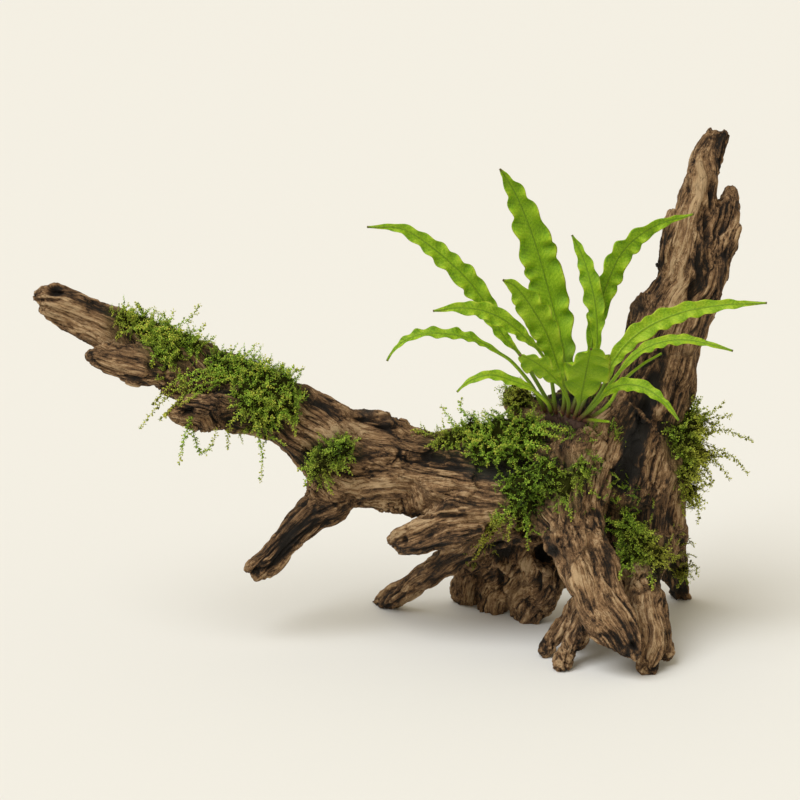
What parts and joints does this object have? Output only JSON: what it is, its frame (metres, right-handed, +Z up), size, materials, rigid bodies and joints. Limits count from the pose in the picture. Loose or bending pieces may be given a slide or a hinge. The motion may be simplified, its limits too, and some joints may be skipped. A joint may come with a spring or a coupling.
{
  "type": "java fern on driftwood",
  "caption": "Branching driftwood standing on its roots, with a wavy-leaved fern on its crown and clumps of moss along its limbs.",
  "frame": {"origin": "ground level, under the middle of the whole piece's box", "axes": "+X along the driftwood from the arm's tip to the upright, +Y to the back, +Z up"},
  "size_m": [0.359, 0.1386, 0.2601],
  "materials": {
    "driftwood": "weathered, fibrous, with dark cracks and tan ridges",
    "rhizome": "scaly dark brown plant stem",
    "fern_frond": "satin leaf, slightly translucent",
    "moss": "soft matte moss shoots"
  },
  "bodies": {
    "root": {"frond_centre": "fern_frond", "frond_front_left": "fern_frond", "frond_front_right": "fern_frond", "frond_left_bottom": "fern_frond", "frond_left_long": "fern_frond", "frond_left_low": "fern_frond", "frond_left_middle": "fern_frond", "frond_right_droop": "fern_frond", "frond_right_long": "fern_frond", "frond_right_middle": "fern_frond", "frond_right_up": "fern_frond", "frond_second": "fern_frond", "frond_sprout": "fern_frond", "frond_tall": "fern_frond", "frond_young": "fern_frond", "moss_arm_end": "moss", "moss_arm_middle": "moss", "moss_crown_front": "moss", "moss_crown_left": "moss", "moss_fork": "moss", "moss_front_right": "moss", "moss_right_rear": "moss", "moss_right_side": "moss", "rhizome": "rhizome", "root_far_left": "driftwood", "root_front": "driftwood", "root_front_left": "driftwood", "root_front_right": "driftwood", "root_left_lower": "driftwood", "root_left_upper": "driftwood", "root_rear_left": "driftwood", "root_rear_middle": "driftwood", "root_rear_right": "driftwood", "wood_arm": "driftwood", "wood_arm_knob": "driftwood", "wood_arm_leg": "driftwood", "wood_arm_lower_prong": "driftwood", "wood_arm_upper_prong": "driftwood", "wood_crown": "driftwood", "wood_upright": "driftwood"}
  },
  "joints": []
}
